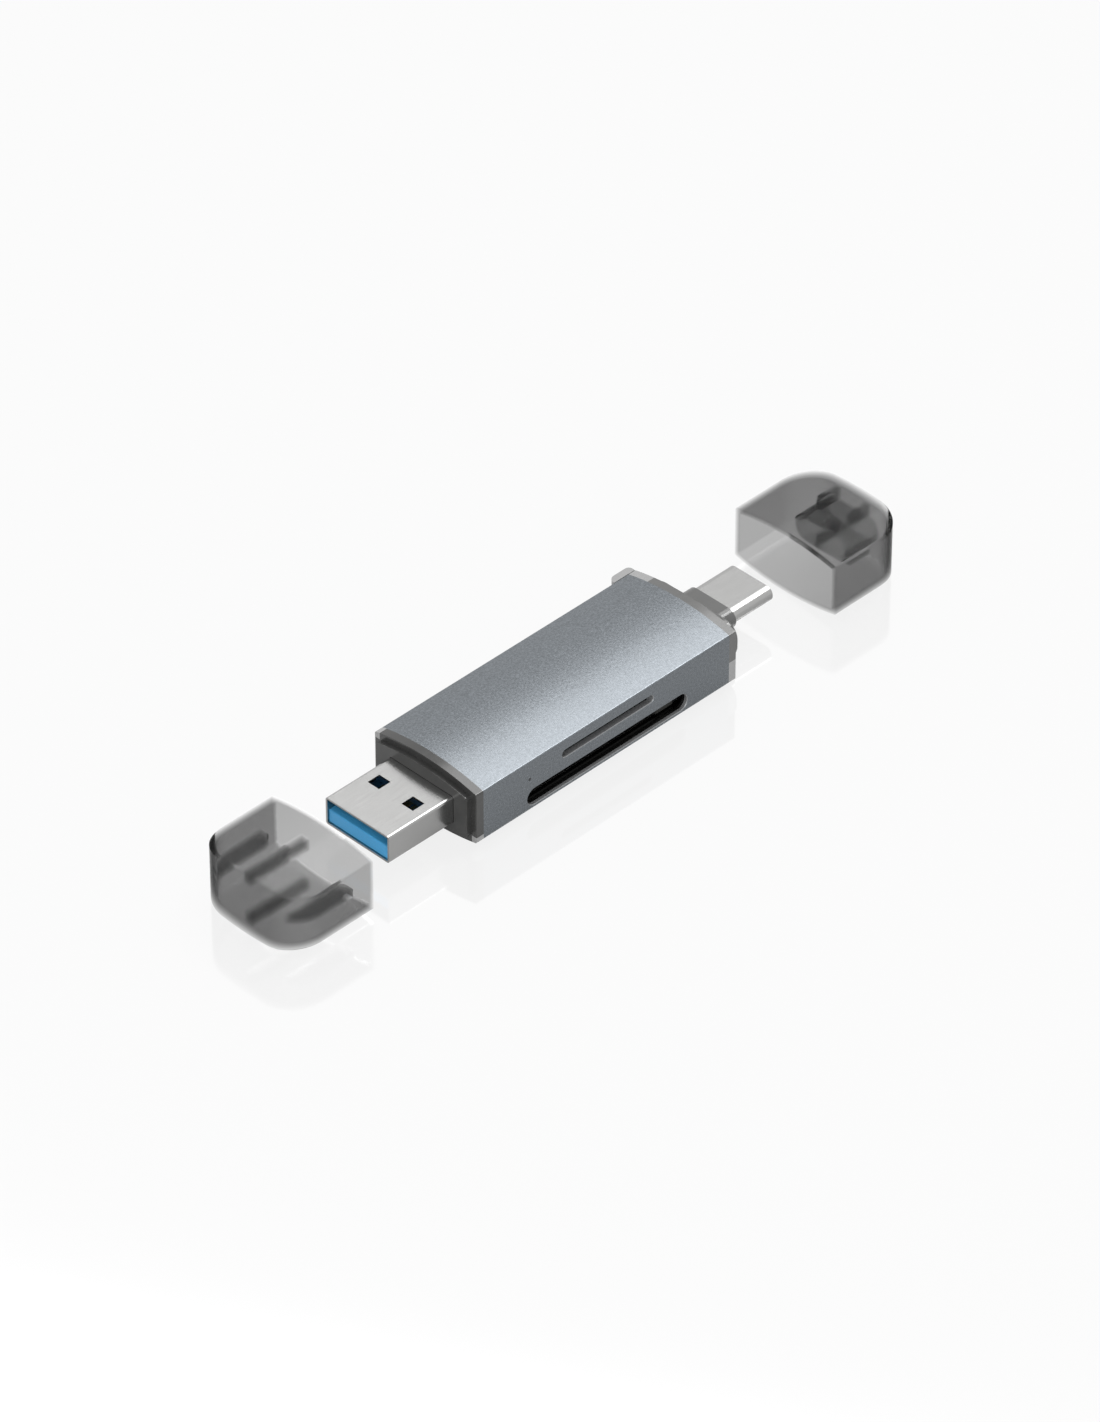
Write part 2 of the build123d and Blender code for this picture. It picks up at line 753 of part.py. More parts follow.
def controller_chip():
    """Flat package with a row of gull-wing pins on each side."""
    size = (controller_size, controller_size, controller_height - chip_standoff)
    body = standing_box(controller_x, controller_y, board_top + chip_standoff, size)
    body = chamfer(body.faces().sort_by(Axis.Z)[-1].edges(), chip_edge)
    edge = controller_size / 2
    foot = board_top + chip_pin_thickness
    knee = board_top + controller_height / 2
    path = [(edge - chip_pin_root, knee), (edge + chip_pin_shoulder, knee),
            (edge + chip_pin_shoulder + chip_pin_slope, foot), (edge + chip_pin_reach, foot)]
    pin = strip_in_xz(path, chip_pin_thickness, chip_pin_width, 0)
    for side in range(4):
        for offset in spread(chip_pin_count, chip_pin_pitch):
            body += Pos(controller_x, controller_y) * Rot(0, 0, 90 * side) * Pos(0, offset) * pin
    return body


def crystal():
    """Metal can with rounded corners on a ceramic foot."""
    foot = standing_box(regulator_x, crystal_y, board_top,
                        (crystal_length, crystal_width, crystal_foot_height))
    lid = RectangleRounded(crystal_length - 2 * crystal_lid_inset, crystal_width - 2 * crystal_lid_inset,
                           crystal_corner)
    lid_place = Plane.XY.offset(board_top + crystal_foot_height) * Pos(regulator_x, crystal_y)
    return foot + extrude(lid_place * lid, amount=crystal_height - crystal_foot_height)


def voltage_regulator():
    """Three-legged regulator."""
    size = (regulator_length, regulator_width, regulator_height - regulator_standoff)
    body = standing_box(regulator_x, regulator_y, board_top + regulator_standoff, size)
    body = chamfer(body.faces().sort_by(Axis.Z)[-1].edges(), regulator_edge)
    leg_z = span(board_top, regulator_leg_thickness)
    for x, side in ((-regulator_leg_spacing / 2, -1), (regulator_leg_spacing / 2, -1), (0, 1)):
        near, far = span(regulator_width / 2, regulator_leg_reach, side)
        body += block(centred(regulator_x + x, regulator_leg_width),
                      (regulator_y + near, regulator_y + far), leg_z)
    return body


def chip_part(x, y, turned=False):
    """One small two-ended part on the board, along X or turned along Y."""
    length, width = (chip_part_width, chip_part_length) if turned else (chip_part_length, chip_part_width)
    return standing_box(x, y, board_top, (length, width, chip_part_height))


def capacitors():
    """Capacitors beside the USB-A contacts, the chip, the regulator and the USB-C contacts."""
    plug_x = board_low_x + plug_part_setback
    chip_y = controller_y + controller_size / 2 + chip_pin_reach + part_gap + chip_part_width / 2
    low_y = regulator_y - regulator_width / 2 - regulator_leg_reach - part_gap - chip_part_width / 2
    places = [
        (plug_x, plug_part_y),
        (plug_x, plug_part_y + part_pitch),
        (controller_x - part_pitch, chip_y),
        (controller_x + part_pitch, chip_y),
        (regulator_x - part_pitch, low_y),
        (regulator_x + part_pitch, low_y),
        (board_wide_end - usb_c_part_setback, usb_c_part_y),
    ]
    return [chip_part(x, y) for x, y in places]


def resistors():
    """Resistors beside the chip and the USB-C contacts."""
    chip_y = controller_y - controller_size / 2 - chip_pin_reach - part_gap - chip_part_length / 2
    end_x = board_wide_end - usb_c_part_setback
    places = [
        (controller_x, chip_y),
        (controller_x + part_pitch, chip_y),
        (end_x - part_pitch / 2, -usb_c_part_y),
        (end_x + part_pitch / 2, -usb_c_part_y),
        (end_x, -usb_c_part_y - chip_part_length - part_gap),
    ]
    return [chip_part(x, y, turned=True) for x, y in places]


def status_led():
    """Side-facing lamp behind the pinhole."""
    led = block(centred(pinhole_x, led_width), span(-board_half_width, led_depth),
                span(board_top, led_height))
    return chamfer(led.edges().filter_by(Axis.Y).group_by(Axis.Z)[-1], led_edge)


def cap_limits(side, mouth, depth):
    """Limits in X of a length of a cap from its mouth, at the USB-A end (-1) or USB-C end (1)."""
    return span(mouth, depth, side)


def cap_outer(side, mouth):
    """Outside of a cap, closed away from the reader, with rounded corners and bevelled edges."""
    cap = body_bar(*cap_limits(side, mouth, cap_length))
    corners = cap.edges().filter_by(Axis.Z).group_by(Axis.X)[-1 if side > 0 else 0]
    cap = fillet(corners, cap_plan_corner)
    crown_edges = cap.edges().filter_by(Axis.X)
    mouth_edges = cap.edges().group_by(Axis.X)[0 if side > 0 else -1]
    upright = cap.edges().filter_by(Axis.Z)
    rim = cap.edges() - crown_edges - mouth_edges - upright
    return chamfer(rim + crown_edges, cap_edge_bevel)


def cap_hollow(side, mouth):
    """Inside of a cap, parallel to its outside."""
    hollow = body_bar(*cap_limits(side, mouth, cap_length - cap_end_wall), cap_wall, cap_wall)
    corners = hollow.edges().filter_by(Axis.Z).group_by(Axis.X)[-1 if side > 0 else 0]
    return fillet(corners, cap_plan_corner - cap_wall)


def usb_a_cap():
    """Cap with a rib on each of its four walls, which centre the plug."""
    hollow = cap_hollow(-1, usb_a_cap_mouth_x)
    cap = cap_outer(-1, usb_a_cap_mouth_x) - hollow
    x = cap_limits(-1, usb_a_cap_mouth_x + rib_setback, cap_length - rib_setback)
    upper = usb_a_height / 2 + rib_clearance
    inner = usb_a_width / 2 + rib_clearance
    for side in (-1, 1):
        cap += block(x, centred(0, rib_thickness), span(upper, crest - upper, side)) & hollow
        rib = block(x, span(inner, half_width - inner, side), centred(0, side_rib_thickness))
        edges = rib.edges().filter_by(Axis.Z).group_by(Axis.X)[-1]
        nose = edges.sort_by(Axis.Y)[-1 if side < 0 else 0]
        cap += fillet(nose, side_rib_round) & hollow
    return cap


def usb_c_cap():
    """Cap with an oval sleeve for the plug, carried by two ribs above and two below."""
    hollow = cap_hollow(1, usb_c_cap_mouth_x)
    cap = cap_outer(1, usb_c_cap_mouth_x) - hollow
    start, end = cap_limits(1, usb_c_cap_mouth_x + sleeve_setback, cap_length - sleeve_setback)
    gap = 2 * sleeve_clearance
    bore = SlotOverall(usb_c_width + gap, usb_c_height + gap)
    sleeve = SlotOverall(usb_c_width + gap + 2 * sleeve_wall, usb_c_height + gap + 2 * sleeve_wall)
    holder = along_x(sleeve, start, end)
    rib_x = (start + sleeve_rib_setback, end)
    for y in (-sleeve_rib_spacing / 2, sleeve_rib_spacing / 2):
        holder += block(rib_x, centred(y, sleeve_rib_thickness), centred(0, 2 * crest))
    holder -= along_x(bore, start, end)
    return cap + (holder & hollow)


def save(name, shape):
    """Write one named piece, set on the lowest line of the underside."""
    export_step(PLACE * shape, f"parts/{name}.step")


def main():
    """Build every piece and write each to its own file."""
    os.makedirs("parts", exist_ok=True)
    usb_a_contacts = usb_a_contact_strips()
    usb_c_contacts = usb_c_contact_blades()
    mid_plate = usb_c_mid_plate()
    ground_springs = usb_c_ground_springs()
    pieces = {
        "metal_shell": metal_shell(),
        "usb_a_end_frame": usb_a_end_frame(),
        "usb_c_end_frame": usb_c_end_frame(),
        "usb_a_plug_shell": usb_a_plug_shell(),
        "usb_a_tongue": usb_a_tongue(usb_a_contacts),
        "usb_a_contacts": group(usb_a_contacts),
        "usb_c_plug_shell": usb_c_plug_shell(),
        "usb_c_insulator": usb_c_insulator(usb_c_contacts + [mid_plate] + ground_springs),
        "usb_c_contacts": group(usb_c_contacts),
        "usb_c_mid_plate": mid_plate,
        "usb_c_ground_springs": group(ground_springs),
        "circuit_board": circuit_board(),
        "sd_socket_base": sd_socket_base(),
        "sd_socket_contacts": group(sd_socket_contacts()),
        "sd_detect_springs": group(sd_detect_springs()),
        "sd_socket_cover": sd_socket_cover(),
        "microsd_socket_base": microsd_socket_base(),
        "microsd_socket_contacts": group(microsd_socket_contacts()),
        "microsd_detect_spring": microsd_detect_spring(),
        "microsd_socket_cover": microsd_socket_cover(),
        "controller_chip": controller_chip(),
        "voltage_regulator": voltage_regulator(),
        "crystal": crystal(),
        "capacitors": group(capacitors()),
        "resistors": group(resistors()),
        "status_led": status_led(),
        "usb_a_cap": usb_a_cap(),
        "usb_c_cap": usb_c_cap(),
    }
    for name, shape in pieces.items():
        save(name, shape)


main()
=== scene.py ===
"""Looks of the pocket card reader: finishes, floor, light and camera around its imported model."""
import json
import math

import bpy
from mathutils import Matrix, Vector


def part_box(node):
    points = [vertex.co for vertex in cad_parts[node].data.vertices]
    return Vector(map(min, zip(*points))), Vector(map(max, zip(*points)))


MM = 0.001

# Height of the shell's middle over the floor
CREST = 5.25 * MM

# Camera: the photograph's viewing angle, framing and distance
VIEW_AZIMUTH = math.radians(-45.06)
VIEW_ELEVATION = math.radians(38.86)
VIEW_DISTANCE = 1169.1 * MM
AIM_RIGHT = -0.92 * MM
AIM_UP = -0.82 * MM
LENS = 220.4
SENSOR = 36.0

# Light levels, where 1 renders white
BACKGROUND_LEVEL = 1.0
AMBIENT_LEVEL = 0.55
BACK_LAMP_RADIANCE = 3.4
FRONT_LAMP_RADIANCE = 1.6
EDGE_LAMP_RADIANCE = 8.0
FLOOR_GLOW = 0.94
FLOOR_GLOW_IN_METAL = 0.3
FLOOR_MIRROR = 0.10

# Softboxes: azimuth from +X towards +Y and elevation in degrees, distance, width and height in metres
BACK_LAMP = (30, 62, 3.0, 2.4, 1.7)
FRONT_LAMP = (218, 24, 0.7, 0.8, 0.6)
EDGE_LAMP = (-18, 54, 1.5, 0.5, 0.35)

FLOOR_HALF_SIZE = 6.0
FLOOR_ROUGHNESS = 0.06

# Finishes, as linear colours
ALUMINIUM = (0.165, 0.180, 0.195)
MILLED_ALUMINIUM = (0.26, 0.265, 0.27)
# painted shade inside the SD slot
SHADE_PAINTED_ALUMINIUM = (0.01, 0.01, 0.01)
PLUG_STEEL = (0.40, 0.40, 0.395)
SOCKET_STEEL = (0.22, 0.22, 0.215)
SPRING_STEEL = (0.50, 0.50, 0.49)
GOLD = (0.80, 0.58, 0.27)
BLUE = (0.075, 0.46, 0.87)
# painted shade of the tongue deep inside the plug
SHADE_PAINTED_BLUE = (0.010, 0.050, 0.110)
BLACK = (0.012, 0.012, 0.013)
SOCKET_GREY = (0.040, 0.040, 0.038)
BOARD_GREEN = (0.010, 0.060, 0.028)
CERAMIC_TAN = (0.32, 0.20, 0.11)
CERAMIC_BLACK = (0.02, 0.02, 0.022)
LED_WHITE = (0.80, 0.80, 0.74)
FLOOR_WHITE = (0.60, 0.60, 0.60)
CAP_SMOKE = (0.92, 0.92, 0.92)
# The end frames' smoke with painted shade of the dark inside behind it, and painted light where nothing
# dark is behind
USB_A_FRAME_SHADED_SMOKE = (0.042, 0.042, 0.041)
USB_C_FRAME_SHADED_SMOKE = (0.12, 0.12, 0.118)
PAINTED_LIGHT_SMOKE = (0.34, 0.34, 0.34)

# Smoked plastic and its gloss
CAP_IOR = 1.07
CAP_DENSITY = 530.0
CAP_COAT = 0.15
FRAME_COAT = 0.2
COAT_IOR = 1.5
COAT_ROUGHNESS = 0.1

# Width and depth of the finest detail of each surface
GRAIN_SIZE = 0.3 * MM
GRAIN_DEPTH = 0.012 * MM
WAVE_SIZE = 2.5 * MM
WAVE_DEPTH = 0.01 * MM
DRAWING_LINE_SIZE = 0.12 * MM
DRAWING_LINE_DEPTH = 0.001 * MM
DRAWING_STRETCH = (0.05, 1, 1)
MOULD_GRAIN_SIZE = 0.15 * MM
MOULD_GRAIN_DEPTH = 0.006 * MM
TRACK_PITCH = 1.4 * MM
TRACK_DEPTH = 0.02 * MM

# Painted shade: the blue tongue gets darker between two depths behind its face
TONGUE_FACE_X = -37.03 * MM
TONGUE_SHADE_START = 0.8 * MM
TONGUE_SHADE_END = 3.0 * MM

# Where the slots' walls are bare metal, and painted dark further in as painted shade
SLOTS_HALF_HEIGHT = 3.9 * MM
SD_SLOT_Z = CREST - 2.25 * MM
SD_SLOT_HALF_HEIGHT = 1.65 * MM
MILLED_Y = -9.06 * MM
MILLED_HALF_WIDTH = 0.50 * MM
INNER_HALF_WIDTH = 9.04 * MM

# Where the end frames are painted pale, as painted light that shows through them
PAINTED_LIGHT_HALF_WIDTH = 8.7 * MM
PAINTED_LIGHT_HALF_HEIGHT = 3.2 * MM
FLANGE_X = 24.0 * MM
FLANGE_HALF_LENGTH = 0.66 * MM
FLANGE_BACK_Y = 5.9 * MM
FLANGE_FRONT_Z = -0.6 * MM
LUG_Y = 9.5 * MM


def new_material(name):
    """A material with only a Principled shader and the output."""
    material = bpy.data.materials.new(name)
    material.use_nodes = True
    tree = material.node_tree
    tree.nodes.clear()
    shader = tree.nodes.new("ShaderNodeBsdfPrincipled")
    output = tree.nodes.new("ShaderNodeOutputMaterial")
    tree.links.new(shader.outputs["BSDF"], output.inputs["Surface"])
    return material, tree, shader, output


def object_coordinates(tree, stretch=(1, 1, 1)):
    """Coordinates fixed to the piece, stretched along its axes."""
    coordinates = tree.nodes.new("ShaderNodeTexCoord")
    mapping = tree.nodes.new("ShaderNodeMapping")
    mapping.inputs["Scale"].default_value = stretch
    tree.links.new(coordinates.outputs["Object"], mapping.inputs["Vector"])
    return mapping.outputs["Vector"]


def noise(tree, vector, size, detail, roughness=0.5):
    """Noise with features of about the given size in metres."""
    texture = tree.nodes.new("ShaderNodeTexNoise")
    texture.inputs["Scale"].default_value = 1 / size
    texture.inputs["Detail"].default_value = detail
    texture.inputs["Roughness"].default_value = roughness
    tree.links.new(vector, texture.inputs["Vector"])
    return texture.outputs["Fac"]


def value_range(tree, factor, low, high, from_low=0.3, from_high=0.7):
    """A value that runs from low to high as the factor does."""
    spread = tree.nodes.new("ShaderNodeMapRange")
    spread.inputs["From Min"].default_value = from_low
    spread.inputs["From Max"].default_value = from_high
    spread.inputs["To Min"].default_value = low
    spread.inputs["To Max"].default_value = high
    tree.links.new(factor, spread.inputs["Value"])
    return spread.outputs["Result"]


def shade_range(tree, factor, colour, variation):
    """A colour that gets darker and lighter by a share as the factor varies."""
    ramp = tree.nodes.new("ShaderNodeValToRGB")
    ramp.color_ramp.elements[0].position = 0.3
    ramp.color_ramp.elements[1].position = 0.7
    ramp.color_ramp.elements[0].color = [c * (1 - variation) for c in colour] + [1]
    ramp.color_ramp.elements[1].color = [c * (1 + variation) for c in colour] + [1]
    tree.links.new(factor, ramp.inputs["Fac"])
    return ramp.outputs["Color"]


def mixed_colour(tree, factor, first, second):
    """A colour that runs from the first, a socket, to the second, a constant."""
    mix = tree.nodes.new("ShaderNodeMix")
    mix.data_type = "RGBA"
    tree.links.new(factor, mix.inputs[0])
    tree.links.new(first, mix.inputs[6])
    mix.inputs[7].default_value = second + (1,)
    return mix.outputs[2]


def combined(tree, operation, first, second):
    """Two values combined by a maths operation."""
    node = tree.nodes.new("ShaderNodeMath")
    node.operation = operation
    for socket, value in zip(node.inputs, (first, second)):
        if isinstance(value, (int, float)):
            socket.default_value = value
        else:
            tree.links.new(value, socket)
    return node.outputs["Value"]


def distance_from(tree, value, middle):
    """How far a place is from a middle."""
    return combined(tree, "ABSOLUTE", combined(tree, "SUBTRACT", value, middle), 0.0)


def places(tree, vector):
    """The X, Y and Z places of a point."""
    split = tree.nodes.new("ShaderNodeSeparateXYZ")
    tree.links.new(vector, split.inputs["Vector"])
    return split.outputs["X"], split.outputs["Y"], split.outputs["Z"]


def within(tree, value, middle, half):
    """1 where a place is nearer to a middle than half a width, otherwise 0."""
    return combined(tree, "LESS_THAN", distance_from(tree, value, middle), half)


def slot_walls(tree, vector):
    """1 on the slots' bare metal walls, and in a second mask 1 on the inner part of the SD slot's,
    where shade is painted, otherwise 0.
    """
    _, y, z = places(tree, vector)
    milled = combined(tree, "MULTIPLY", within(tree, y, MILLED_Y, MILLED_HALF_WIDTH),
                      within(tree, z, CREST, SLOTS_HALF_HEIGHT))
    shade_painted_inside = combined(tree, "MULTIPLY", within(tree, y, 0.0, INNER_HALF_WIDTH),
                     within(tree, z, SD_SLOT_Z, SD_SLOT_HALF_HEIGHT))
    return milled, shade_painted_inside


def bump(tree, shader, height, depth, strength):
    """Bump of a given depth in metres on a shader."""
    node = tree.nodes.new("ShaderNodeBump")
    node.inputs["Strength"].default_value = strength
    node.inputs["Distance"].default_value = depth
    tree.links.new(height, node.inputs["Height"])
    tree.links.new(node.outputs["Normal"], shader.inputs["Normal"])


def blasted_aluminium():
    """Bead-blasted, anodised aluminium: a fine matt grain with a soft metallic gloss, bare metal on the
    slots' walls and painted shade inside the SD slot.
    """
    material, tree, shader, _ = new_material("blasted_aluminium")
    vector = object_coordinates(tree)
    grain = noise(tree, vector, GRAIN_SIZE, detail=2.0, roughness=0.6)
    milled, shade_painted_inside = slot_walls(tree, vector)
    blasted = shade_range(tree, grain, ALUMINIUM, 0.2)
    outer = mixed_colour(tree, milled, blasted, MILLED_ALUMINIUM)
    # painted shade: the inside of the SD slot is painted near black
    tree.links.new(mixed_colour(tree, shade_painted_inside, outer, SHADE_PAINTED_ALUMINIUM), shader.inputs["Base Color"])
    tree.links.new(value_range(tree, grain, 0.22, 0.30), shader.inputs["Roughness"])
    tree.links.new(value_range(tree, milled, 0.72, 0.3, 0.0, 1.0), shader.inputs["Metallic"])
    bump(tree, shader, grain, GRAIN_DEPTH, 0.6)
    return material


def coated(shader, weight):
    """A thin clear gloss over a plastic."""
    shader.inputs["Coat Weight"].default_value = weight
    shader.inputs["Coat Roughness"].default_value = COAT_ROUGHNESS
    shader.inputs["Coat IOR"].default_value = COAT_IOR


def cap_plastic():
    """The caps' smoked plastic: clear and slightly wavy, with its grey in its depth."""
    material, tree, shader, output = new_material("cap_smoked_plastic")
    vector = object_coordinates(tree)
    waviness = noise(tree, vector, WAVE_SIZE, detail=1.0)
    tree.links.new(value_range(tree, waviness, 0.0, 0.02), shader.inputs["Roughness"])
    shader.inputs["Base Color"].default_value = CAP_SMOKE + (1,)
    shader.inputs["IOR"].default_value = CAP_IOR
    shader.inputs["Transmission Weight"].default_value = 1.0
    coated(shader, CAP_COAT)
    absorption = tree.nodes.new("ShaderNodeVolumeAbsorption")
    absorption.inputs["Color"].default_value = (0.0, 0.0, 0.0, 1)
    absorption.inputs["Density"].default_value = CAP_DENSITY
    tree.links.new(absorption.outputs["Volume"], output.inputs["Volume"])
    bump(tree, shader, waviness, WAVE_DEPTH, 0.2)
    return material


def painted_light_edges(tree, vector):
    """1 where the end frames are painted pale as painted light, with nothing dark behind them,
    otherwise 0.
    """
    x, y, z = places(tree, vector)
    height = combined(tree, "SUBTRACT", z, CREST)
    side = combined(tree, "GREATER_THAN", distance_from(tree, y, 0.0), PAINTED_LIGHT_HALF_WIDTH)
    outer = combined(tree, "GREATER_THAN", distance_from(tree, z, CREST), PAINTED_LIGHT_HALF_HEIGHT)
    across = combined(tree, "GREATER_THAN", combined(tree, "MULTIPLY", y, height), 0.0)
    corner = combined(tree, "MULTIPLY", combined(tree, "MULTIPLY", side, outer), across)
    under = combined(tree, "MULTIPLY", side, combined(tree, "LESS_THAN", height, FLANGE_FRONT_Z))
    back = combined(tree, "GREATER_THAN", y, FLANGE_BACK_Y)
    flange = combined(tree, "MULTIPLY", within(tree, x, FLANGE_X, FLANGE_HALF_LENGTH),
                      combined(tree, "MAXIMUM", under, back))
    lug = combined(tree, "GREATER_THAN", y, LUG_Y)
    return combined(tree, "MAXIMUM", corner, combined(tree, "MAXIMUM", flange, lug))


def frame_plastic():
    """The end frames' smoky plastic: painted shade of the reader's dark inside behind it, darker at the
    USB-A end, and painted light at its edges.
    """
    material, tree, shader, _ = new_material("frame_smoke_painted_light_and_shade")
    vector = object_coordinates(tree)
    clouds = noise(tree, vector, WAVE_SIZE, detail=1.0)
    x, _, _ = places(tree, vector)
    usb_c_end = combined(tree, "GREATER_THAN", x, 0.0)
    # painted shade of the dark inside seen through the smoke, lighter at the USB-C end, and painted
    # light at the pale edges
    colour = shade_range(tree, clouds, USB_A_FRAME_SHADED_SMOKE, 0.08)
    for share, smoke in ((usb_c_end, USB_C_FRAME_SHADED_SMOKE), (painted_light_edges(tree, vector), PAINTED_LIGHT_SMOKE)):
        colour = mixed_colour(tree, share, colour, smoke)
    tree.links.new(colour, shader.inputs["Base Color"])
    tree.links.new(value_range(tree, clouds, 0.14, 0.20), shader.inputs["Roughness"])
    coated(shader, FRAME_COAT)
    bump(tree, shader, clouds, WAVE_DEPTH, 0.2)
    return material


def rolled_metal(name, colour, roughness):
    """Sheet metal with faint drawing lines along X."""
    material, tree, shader, _ = new_material(name)
    vector = object_coordinates(tree, DRAWING_STRETCH)
    lines = noise(tree, vector, DRAWING_LINE_SIZE, detail=3.0)
    tree.links.new(shade_range(tree, lines, colour, 0.02), shader.inputs["Base Color"])
    polish = value_range(tree, lines, roughness - 0.02, roughness + 0.02)
    tree.links.new(polish, shader.inputs["Roughness"])
    shader.inputs["Metallic"].default_value = 1.0
    bump(tree, shader, lines, DRAWING_LINE_DEPTH, 0.15)
    return material


def moulded_plastic(name, colour, roughness):
    """Opaque moulded plastic with a fine spark-eroded grain."""
    material, tree, shader, _ = new_material(name)
    vector = object_coordinates(tree)
    grain = noise(tree, vector, MOULD_GRAIN_SIZE, detail=3.0)
    tree.links.new(shade_range(tree, grain, colour, 0.08), shader.inputs["Base Color"])
    polish = value_range(tree, grain, roughness - 0.05, roughness + 0.05)
    tree.links.new(polish, shader.inputs["Roughness"])
    bump(tree, shader, grain, MOULD_GRAIN_DEPTH, 0.5)
    return material, tree, shader


def tongue_plastic():
    """Blue moulded plastic, with painted shade that darkens it with its depth in the plug."""
    material, tree, shader = moulded_plastic("tongue_blue", BLUE, 0.42)
    x, _, _ = places(tree, object_coordinates(tree))
    depth = value_range(tree, x, 0.0, 1.0, TONGUE_FACE_X + TONGUE_SHADE_START,
                        TONGUE_FACE_X + TONGUE_SHADE_END)
    front = shader.inputs["Base Color"].links[0].from_socket
    # painted shade: the tongue runs to a darker blue deeper in the plug
    tree.links.new(mixed_colour(tree, depth, front, SHADE_PAINTED_BLUE), shader.inputs["Base Color"])
    return material


def solder_mask():
    """Green laminate with the slight relief of copper tracks under its mask."""
    material, tree, shader, _ = new_material("solder_mask")
    vector = object_coordinates(tree)
    tracks = tree.nodes.new("ShaderNodeTexVoronoi")
    tracks.feature = "DISTANCE_TO_EDGE"
    tracks.distance = "MANHATTAN"
    tracks.inputs["Scale"].default_value = 1 / TRACK_PITCH
    tree.links.new(vector, tracks.inputs["Vector"])
    raised = value_range(tree, tracks.outputs["Distance"], 1.0, 0.0, 0.05, 0.12)
    tree.links.new(shade_range(tree, raised, BOARD_GREEN, 0.35), shader.inputs["Base Color"])
    shader.inputs["Roughness"].default_value = 0.3
    bump(tree, shader, raised, TRACK_DEPTH, 0.6)
    return material


def build_materials():
    """One finish for each material slot of the record."""
    return {
        "shell_aluminium": blasted_aluminium(),
        "frame_smoke": frame_plastic(),
        "cap_smoke": cap_plastic(),
        "plug_steel": rolled_metal("plug_steel", PLUG_STEEL, 0.2),
        "spring_steel": rolled_metal("spring_steel", SPRING_STEEL, 0.28),
        "socket_steel": rolled_metal("socket_steel", SOCKET_STEEL, 0.32),
        "contact_gold": rolled_metal("contact_gold", GOLD, 0.25),
        "tongue_blue": tongue_plastic(),
        "insulator_black": moulded_plastic("insulator_black", BLACK, 0.45)[0],
        "socket_plastic": moulded_plastic("socket_plastic", SOCKET_GREY, 0.5)[0],
        "board_laminate": solder_mask(),
        "chip_resin": moulded_plastic("chip_resin", BLACK, 0.5)[0],
        "crystal_can": rolled_metal("crystal_can", SOCKET_STEEL, 0.2),
        "capacitor_ceramic": moulded_plastic("capacitor_ceramic", CERAMIC_TAN, 0.5)[0],
        "resistor_ceramic": moulded_plastic("resistor_ceramic", CERAMIC_BLACK, 0.3)[0],
        "led_resin": moulded_plastic("led_resin", LED_WHITE, 0.25)[0],
    }


def dress_nodes(frame, materials):
    """Give every piece of the frame its finish."""
    slots = {row["node"]: row["material_slot"] for row in frame["record"]["subparts"]}
    for name, piece in frame["nodes"].items():
        piece.data.materials.clear()
        piece.data.materials.append(materials[slots[name]])


def seen_share(tree, direct, mirrored):
    """A share for what is seen by itself or through glass, another in metal, otherwise 0."""
    path = tree.nodes.new("ShaderNodeLightPath")
    seen = combined(tree, "MAXIMUM", path.outputs["Is Camera Ray"], path.outputs["Is Transmission Ray"])
    in_metal = combined(tree, "MULTIPLY", path.outputs["Is Glossy Ray"], mirrored)
    return combined(tree, "MAXIMUM", combined(tree, "MULTIPLY", seen, direct), in_metal)


def polished_white():
    """White floor with part of its own white where it is seen, a soft shadow and a faint mirror."""
    material = bpy.data.materials.new("floor_white")
    material.use_nodes = True
    tree = material.node_tree
    tree.nodes.clear()
    paint = tree.nodes.new("ShaderNodeBsdfDiffuse")
    paint.inputs["Color"].default_value = FLOOR_WHITE + (1,)
    glow = tree.nodes.new("ShaderNodeEmission")
    glow.inputs["Strength"].default_value = BACKGROUND_LEVEL
    white = tree.nodes.new("ShaderNodeMixShader")
    tree.links.new(seen_share(tree, FLOOR_GLOW, FLOOR_GLOW_IN_METAL), white.inputs["Fac"])
    tree.links.new(paint.outputs["BSDF"], white.inputs[1])
    tree.links.new(glow.outputs["Emission"], white.inputs[2])
    mirror = tree.nodes.new("ShaderNodeBsdfGlossy")
    mirror.inputs["Roughness"].default_value = FLOOR_ROUGHNESS
    surface = tree.nodes.new("ShaderNodeMixShader")
    surface.inputs["Fac"].default_value = FLOOR_MIRROR
    tree.links.new(white.outputs["Shader"], surface.inputs[1])
    tree.links.new(mirror.outputs["BSDF"], surface.inputs[2])
    output = tree.nodes.new("ShaderNodeOutputMaterial")
    tree.links.new(surface.outputs["Shader"], output.inputs["Surface"])
    return material


def build_floor():
    """White polished floor that shows a faint mirror image of what stands on it."""
    mesh = bpy.data.meshes.new("floor")
    signs = ((-1, -1), (1, -1), (1, 1), (-1, 1))
    corners = [(x * FLOOR_HALF_SIZE, y * FLOOR_HALF_SIZE, 0) for x, y in signs]
    mesh.from_pydata(corners, [], [(0, 1, 2, 3)])
    floor = bpy.data.objects.new("floor", mesh)
    bpy.context.scene.collection.objects.link(floor)
    mesh.materials.append(polished_white())


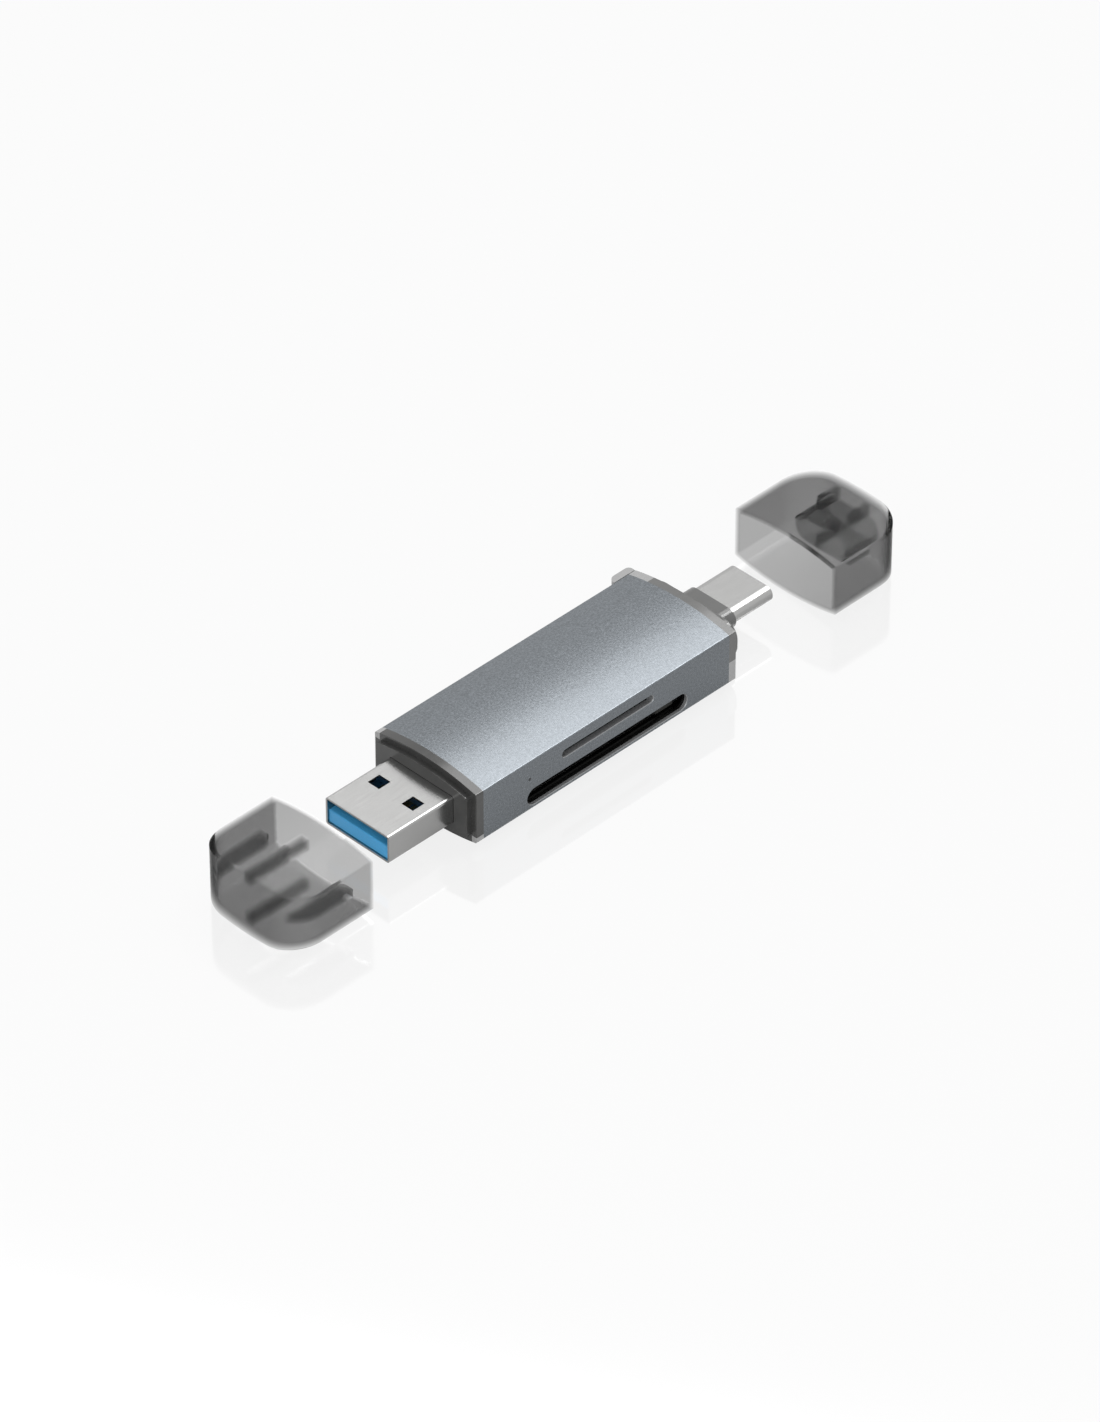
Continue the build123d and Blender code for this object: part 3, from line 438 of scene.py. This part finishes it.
def build_world():
    """White surroundings: full white where seen or mirrored, about half of that as light."""
    world = bpy.data.worlds.new("studio")
    world.use_nodes = True
    bpy.context.scene.world = world
    tree = world.node_tree
    tree.nodes.clear()
    level = tree.nodes.new("ShaderNodeMapRange")
    level.inputs["To Min"].default_value = AMBIENT_LEVEL
    level.inputs["To Max"].default_value = BACKGROUND_LEVEL
    tree.links.new(seen_share(tree, 1.0, 1.0), level.inputs["Value"])
    background = tree.nodes.new("ShaderNodeBackground")
    background.inputs["Color"].default_value = (1, 1, 1, 1)
    tree.links.new(level.outputs["Result"], background.inputs["Strength"])
    output = tree.nodes.new("ShaderNodeOutputWorld")
    tree.links.new(background.outputs["Background"], output.inputs["Surface"])


def direction(azimuth, elevation):
    """Unit vector at an azimuth from +X towards +Y and an elevation, in degrees."""
    turn = math.radians(azimuth)
    rise = math.radians(elevation)
    return Vector((math.cos(turn) * math.cos(rise), math.sin(turn) * math.cos(rise), math.sin(rise)))


def add_softbox(name, placing, radiance):
    """A rectangular lamp in its direction and at its distance, facing the reader."""
    azimuth, elevation, distance, width, height = placing
    data = bpy.data.lights.new(name, "AREA")
    data.shape = "RECTANGLE"
    data.size = width
    data.size_y = height
    data.energy = radiance * math.pi * width * height
    lamp = bpy.data.objects.new(name, data)
    bpy.context.scene.collection.objects.link(lamp)
    place = direction(azimuth, elevation) * distance
    lamp.location = place
    lamp.rotation_euler = place.to_track_quat("Z", "Y").to_euler()


def build_lights():
    """One lamp for the arch to mirror, one for the USB-A end and one for the front edge to mirror."""
    add_softbox("back_softbox", BACK_LAMP, BACK_LAMP_RADIANCE)
    add_softbox("front_softbox", FRONT_LAMP, FRONT_LAMP_RADIANCE)
    add_softbox("edge_softbox", EDGE_LAMP, EDGE_LAMP_RADIANCE)


def build_camera(target):
    """Camera at the photograph's angle, distance and framing."""
    back = Vector((math.sin(VIEW_AZIMUTH) * math.cos(VIEW_ELEVATION),
                   -math.cos(VIEW_AZIMUTH) * math.cos(VIEW_ELEVATION),
                   math.sin(VIEW_ELEVATION)))
    right = Vector((math.cos(VIEW_AZIMUTH), math.sin(VIEW_AZIMUTH), 0))
    up = back.cross(right)
    data = bpy.data.cameras.new("camera")
    data.sensor_fit = "VERTICAL"
    data.sensor_height = SENSOR
    data.lens = LENS
    camera = bpy.data.objects.new("camera", data)
    bpy.context.scene.collection.objects.link(camera)
    turn = Matrix((right, up, back)).transposed()
    place = target + right * AIM_RIGHT + up * AIM_UP + back * VIEW_DISTANCE
    camera.matrix_world = Matrix.Translation(place) @ turn.to_4x4()
    bpy.context.scene.camera = camera


with open("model.json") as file:
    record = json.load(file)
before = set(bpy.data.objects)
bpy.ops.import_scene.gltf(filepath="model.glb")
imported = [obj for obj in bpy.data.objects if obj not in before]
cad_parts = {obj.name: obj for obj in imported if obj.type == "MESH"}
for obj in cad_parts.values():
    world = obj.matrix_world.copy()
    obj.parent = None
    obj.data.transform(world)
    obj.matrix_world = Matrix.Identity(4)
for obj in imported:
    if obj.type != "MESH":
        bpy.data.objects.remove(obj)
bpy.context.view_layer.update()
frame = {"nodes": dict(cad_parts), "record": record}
bpy.context.scene.view_settings.view_transform = "Standard"
dress_nodes(frame, build_materials())
build_floor()
build_world()
build_lights()
shell_low, shell_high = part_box("metal_shell")
build_camera((shell_low + shell_high) / 2)
